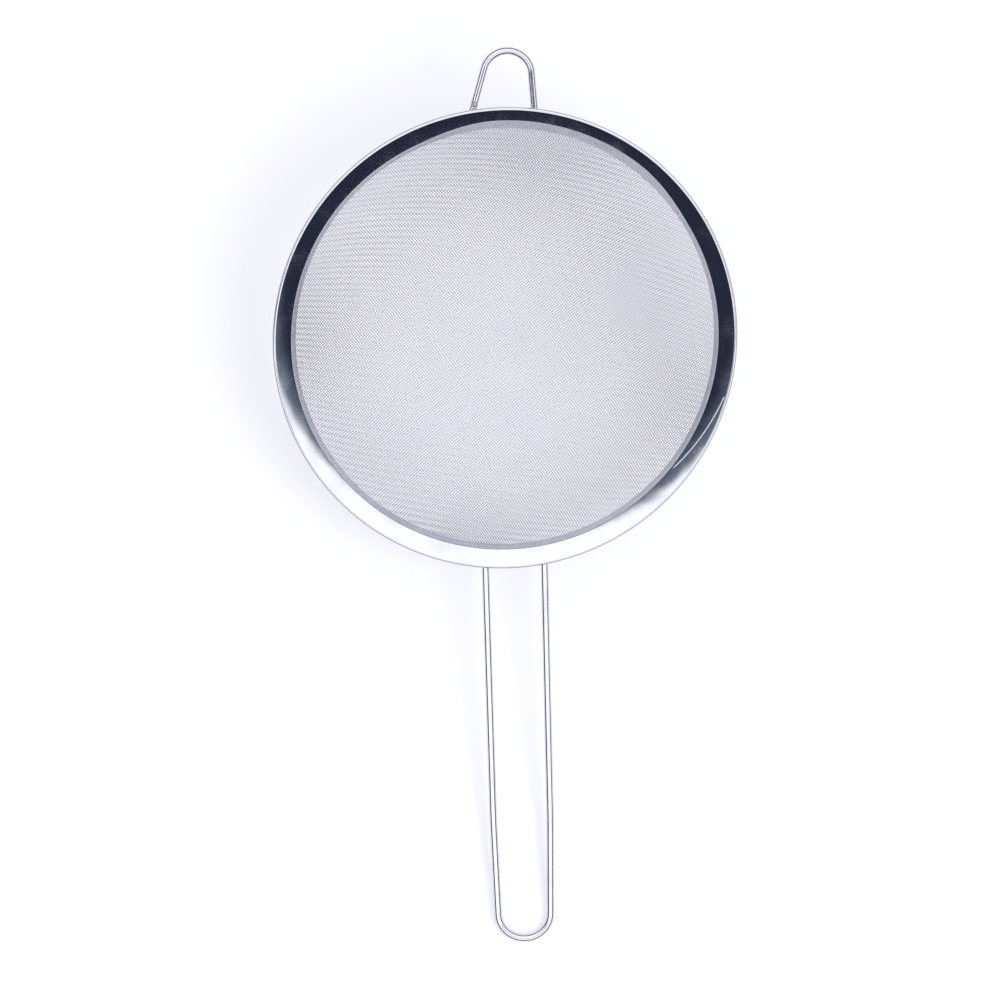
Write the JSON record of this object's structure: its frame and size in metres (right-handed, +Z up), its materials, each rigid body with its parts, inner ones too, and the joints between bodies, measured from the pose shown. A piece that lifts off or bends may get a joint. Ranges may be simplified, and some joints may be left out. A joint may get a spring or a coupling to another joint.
{
  "type": "wire mesh strainer",
  "caption": "Round steel strainer with a domed woven wire mesh in a rolled rim, a long looped wire handle and a wire hook opposite that rests on a pot or bucket.",
  "frame": {"origin": "on the table under the middle of the strainer's overall length and width, as it lies at rest on the bottom of its bowl and the end of its handle", "axes": "+Z up from the table, +Y from the handle towards the hook, +X across the rim; the rim's own axis leans 11.0 degrees from +Z towards -Y"},
  "size_m": [0.2, 0.3902, 0.0787],
  "materials": {
    "polished_rim": "polished stainless steel sheet",
    "ring_steel": "satin stainless steel sheet",
    "wire_cloth": "drawn stainless steel wire, twill woven",
    "bright_wire": "bright drawn stainless steel wire",
    "weld_metal": "unpolished weld metal"
  },
  "bodies": {
    "root": {"rim_band": "polished_rim", "clamp_ring": "ring_steel", "mesh_bowl": "wire_cloth", "handle_wire": "bright_wire", "hook_wire": "bright_wire", "handle_weld_left": "weld_metal", "handle_weld_right": "weld_metal", "hook_weld_left": "weld_metal", "hook_weld_right": "weld_metal", "rim_seam_weld": "weld_metal"}
  },
  "joints": []
}
